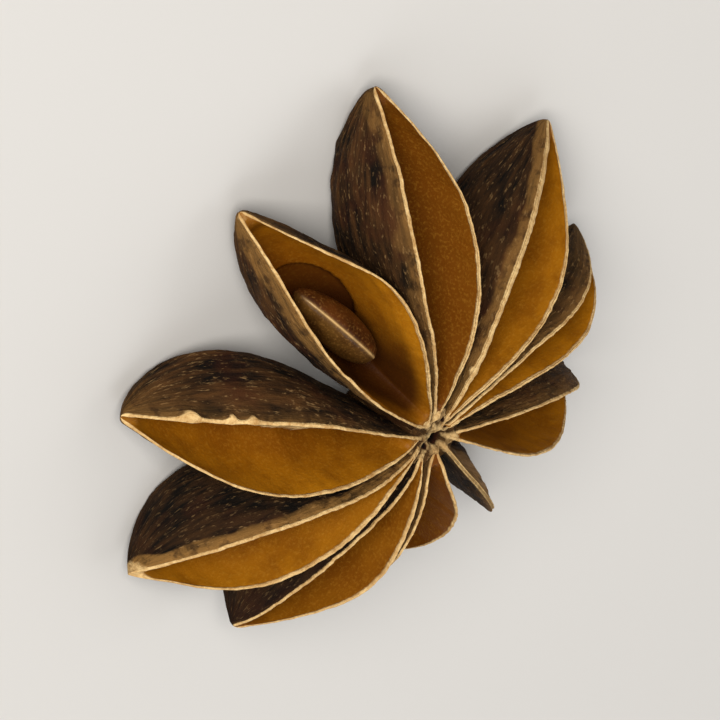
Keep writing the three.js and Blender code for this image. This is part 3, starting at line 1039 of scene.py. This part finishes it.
def outside_colour(m, husk):
    """Dark wood under grey-brown fibres, with reddish patches, pale specks and worn places, and
    painted light and shade: shade in creases and over some whole boats, light on crests and in
    paler strips under some rims.
    """
    specks, fibres = husk.specks, husk.fibres
    patches = m.noise(husk.place, scale=0.33, detail=3.0, roughness=0.6)
    blots = m.noise(husk.place, scale=1.2, detail=3.0, roughness=0.6)
    # Painted shade in the creases and painted light on the crests, with the fibres' own tone.
    tone = m.plus(m.times(fibres, 0.7), m.times(m.field("crease"), 0.3))
    outside = m.over(DARK_WOOD, GREY_FIBRE, tone, low=0.36, high=0.62)
    outside = m.over(outside, RED_PATCH, patches, low=0.5, high=0.7, most=0.6)
    outside = m.over(outside, PALE_SPECK, specks, low=0.58, high=0.72, most=0.65)
    # Painted shade: where pale is below 0, the whole outside of the boat is darker.
    outside = m.over(outside, DARK_WOOD, husk.pale, low=0, high=-0.8)

    # Paler worn wood near the rims and the tip, and, through pale, the painted light of a band under a
    # rim.
    near_rim = m.math("POWER", NEARLY_E, m.times(husk.sink, -2.2))
    near_tip = m.span(husk.along, low=0.8, high=1.0)
    worn_and_lit = m.plus(m.times(near_rim, 0.45), m.times(near_tip, 0.15))
    worn_and_lit = m.plus(worn_and_lit, husk.pale)
    worn_and_lit = m.times(worn_and_lit, m.span(fibres, low=0.25, high=0.6, least=0.45))
    worn_and_lit = m.times(worn_and_lit, m.span(blots, low=0.36, high=0.5, least=0.3), clamp=True)
    outside = m.mix(worn_and_lit, outside, WORN_AND_LIT_WOOD)
    # Painted light: where pale is above 1, a paler grey painted brighter over the fibres.
    pale_and_lit = m.span(husk.pale, low=1.0, high=2.0)
    pale_and_lit = m.times(pale_and_lit, m.span(fibres, low=0.35, high=0.6, least=0.1))
    return m.mix(pale_and_lit, outside, PALE_LIT_WOOD)


def inside_colour(m, husk):
    """Satin amber, golden near the rim; browner towards the keel, partly its own tone and partly
    painted shade deep in the hollow, and browner towards the root as painted shade.
    """
    # Partly painted shade: darker the deeper a point lies below the rim, over the amber's own deeper
    # tone.
    depth = m.span(husk.sink, low=0.3, high=6.5)
    golden = m.mix(depth, GOLD_HIGH, GOLD_DEEP_SHADED)
    brown = m.mix(depth, BROWN_HIGH, BROWN_DEEP_SHADED)
    amber = m.mix(m.field("gold"), brown, golden)
    cloud = m.noise(husk.place, scale=0.55, detail=3.0, roughness=0.6)
    amber = m.over(amber, AMBER_CLOUD, cloud, low=0.42, high=0.66, most=0.5)
    # Painted shade: the amber darkens towards the root.
    amber = m.over(amber, AMBER_ROOT_SHADE, husk.along, low=0.4, high=0.08, most=0.45)
    return m.over(amber, AMBER_GLINT, husk.glint, low=0.5, high=0.75, most=0.25)


def torn_colour(m, husk):
    """Pale torn fibre, crumbly and unevenly faded."""
    fading = m.noise(husk.place, scale=0.8, detail=2.0, roughness=0.5)
    torn = m.over(TORN_DULL, TORN_BRIGHT, husk.crumbs, low=0.3, high=0.6)
    return m.over(torn, TORN_FADED, fading, low=0.45, high=0.7, most=0.55)


def husk_relief(m, husk, is_rim):
    """Fibres and specks outside, a faint glitter inside and crumbs on torn fibre."""
    rough_out = m.plus(m.times(husk.fibres, 1.6), m.times(husk.specks, 0.9))
    rough_in = m.times(husk.glint, 0.22)
    height = m.plus(m.times(rough_out, m.math("SUBTRACT", 1.0, husk.inner)), rough_in)
    return m.plus(height, m.times(husk.crumbs, m.times(is_rim, 0.6)))


def husk_material():
    """Wood outside and amber inside, with painted shade and a seed bed's own darker brown over them, and
    torn fibre over all.
    """
    m = Nodes("anise_husk")
    grain, place = m.field("grain", "Vector"), m.place()
    husk = SimpleNamespace(place=place)
    for name in ("inner", "sink", "along", "pale"):
        setattr(husk, name, m.field(name))
    husk.fibres = m.noise(m.stretch(grain, 0.4, 3.2, 1), scale=1.0, detail=5.0, roughness=0.65)
    husk.specks = m.noise(m.stretch(grain, 2.4, 8.0, 1), scale=1.0, detail=3.0, roughness=0.6)
    husk.glint = m.noise(place, scale=5.5, detail=2.0, roughness=0.6)
    husk.crumbs = m.noise(place, scale=3.2, detail=4.0, roughness=0.65)

    ragged = m.times(m.math("SUBTRACT", husk.crumbs, 0.5), 0.4)
    is_rim = m.span(m.plus(m.field("rim"), ragged), low=0.42, high=0.72)
    stain = m.field("stain")
    skin = m.mix(husk.inner, outside_colour(m, husk), inside_colour(m, husk))
    # Painted shade, with a seed bed's own darker brown: darker at a hollow's tip, round the seed and
    # near the root, and near black in the column's pits.
    skin = m.mix(m.times(stain, 0.9, clamp=True), skin, SHADE_AND_STAIN_BROWN)
    skin = m.over(skin, PIT_SHADE_COLOUR, stain, low=1.0, high=2.0)
    colour = m.mix(is_rim, skin, torn_colour(m, husk))
    roughness = m.plus(m.times(husk.inner, -0.4), 0.86)
    roughness = m.math("MAXIMUM", roughness, m.times(is_rim, 0.85))
    inputs = {"Base Color": colour, "Roughness": roughness, "Specular IOR Level": 0.12}
    height = husk_relief(m, husk, is_rim)
    return m.shader(m.bumped(inputs, height, strength=0.9, distance=0.14 * MM))


# The seed's olive side is painted lighter as lit, its redder side darker as shaded.
SEED_OLIVE_LIT = (srgb(64, 38, 11), srgb(98, 67, 25))
SEED_RED_SHADED = (srgb(50, 22, 6), srgb(88, 46, 15))
SEED_SPECK = srgb(160, 116, 58)
# Painted highlight along the seed's raised line.
SEED_LINE_HIGHLIGHT = srgb(220, 180, 118)
SEED_SCAR_COLOUR = srgb(190, 146, 90)


def seed_material():
    """A glossy coat, olive on one side and redder on the other, painted lighter and darker as
    lit and shaded, with a painted highlight along its raised line and a pale scar.
    """
    m = Nodes("anise_seed")
    place = m.place()
    cloud = m.noise(place, scale=0.7, detail=3.0, roughness=0.6)
    fine = m.noise(place, scale=7.0, detail=2.0, roughness=0.5)
    # The olive side painted lighter as lit, the redder side darker as shaded.
    olive, red = (m.over(*pair, cloud, low=0.35, high=0.65) for pair in (SEED_OLIVE_LIT, SEED_RED_SHADED))
    coat = m.mix(m.field("face"), red, olive)
    coat = m.over(coat, SEED_SPECK, fine, low=0.54, high=0.72, most=0.4)
    faded = m.span(cloud, low=0.3, high=0.6, least=0.45, most=0.9)
    # Painted highlight along the raised line on the seed's edge.
    coat = m.mix(m.times(faded, m.field("edge")), coat, SEED_LINE_HIGHLIGHT)
    coat = m.mix(m.times(m.field("scar"), 0.75), coat, SEED_SCAR_COLOUR)
    inputs = {
        "Base Color": coat,
        "Roughness": 0.38,
        "Specular IOR Level": 0.4,
        "Coat Weight": 0.15,
        "Coat Roughness": 0.2,
    }
    return m.shader(m.bumped(inputs, fine, strength=0.25, distance=0.05 * MM))


def floor_material():
    return Nodes("floor").shader({"Base Color": (0.66, 0.64, 0.61, 1), "Roughness": 0.7})


# -------- the pod
husk_skin = husk_material()
for number in range(len(CARPELS)):
    grid_piece(f"carpel_{number + 1}", *boat_mesh(number), husk_skin, "husk", "husk")
grid_piece("column", *column_mesh(), husk_skin, "husk", "husk")
grid_piece("seed_coat", *seed_mesh(), seed_material(), "seed", "seed")

# -------- floor and light
bpy.ops.mesh.primitive_plane_add(size=4, location=(0, 0, 0))
floor = bpy.context.object
floor.name = "floor"
floor.data.materials.append(floor_material())


def area_light(name, direction, distance, size, power, colour=(1, 1, 1)):
    """A soft square light that faces the pod. Distance and size are in metres."""
    data = bpy.data.lights.new(name, "AREA")
    data.size = size
    data.energy = power
    data.color = colour
    light = bpy.data.objects.new(name, data)
    away = Vector(direction).normalized()
    light.location = away * distance
    light.rotation_euler = away.to_track_quat("Z", "Y").to_euler()
    bpy.context.scene.collection.objects.link(light)


def studio_world(brightness):
    """An even white surround."""
    world = bpy.data.worlds.new("studio")
    world.use_nodes = True
    background = world.node_tree.nodes["Background"]
    background.inputs["Color"].default_value = (1, 1, 1, 1)
    background.inputs["Strength"].default_value = brightness
    bpy.context.scene.world = world


WARM = (1, 0.97, 0.93)
COOL = (0.93, 0.96, 1)
area_light("key", (0.1, -0.8, 0.65), distance=0.6, size=0.35, power=4.2, colour=WARM)
area_light("fill", (0.8, 0.3, 0.9), distance=0.7, size=0.5, power=1.2, colour=COOL)
area_light("back", (-0.6, 0.9, 0.8), distance=0.7, size=0.5, power=1.2)
studio_world(brightness=0.22)
bpy.context.scene.view_settings.view_transform = "Standard"

# -------- camera
CAMERA_ELEVATION = 38
CAMERA_ROLL = -125
CAMERA_DISTANCE = 1.2  # metres
CAMERA_NEAR = 0.01
CAMERA_FAR = 10
VIEW_WIDTH = 41.0  # across the picture
VIEW_SHIFT = (-4.25, 4.42)  # from the seams' start on the column's axis to the picture's middle
SENSOR = 36.0


def photo_camera():
    """A long lens that looks at the pod as the photograph does."""
    tilt, roll = math.radians(CAMERA_ELEVATION), math.radians(CAMERA_ROLL)
    level = Vector((1, 0, 0))
    steep = Vector((0, math.sin(tilt), math.cos(tilt)))
    right = level * math.cos(roll) - steep * math.sin(roll)
    upward = level * math.sin(roll) + steep * math.cos(roll)
    back = right.cross(upward)
    target = Vector((*POD_AXIS, SEAM_LEVEL)) + right * VIEW_SHIFT[0] + upward * VIEW_SHIFT[1]
    data = bpy.data.cameras.new("camera")
    data.sensor_width = SENSOR
    data.lens = SENSOR * CAMERA_DISTANCE / (VIEW_WIDTH * MM)
    data.clip_start = CAMERA_NEAR
    data.clip_end = CAMERA_FAR
    camera = bpy.data.objects.new("camera", data)
    turned = Matrix((right, upward, back)).transposed().to_4x4()
    turned.translation = target * MM + back * CAMERA_DISTANCE
    camera.matrix_world = turned
    bpy.context.scene.collection.objects.link(camera)
    return camera


bpy.context.scene.camera = photo_camera()
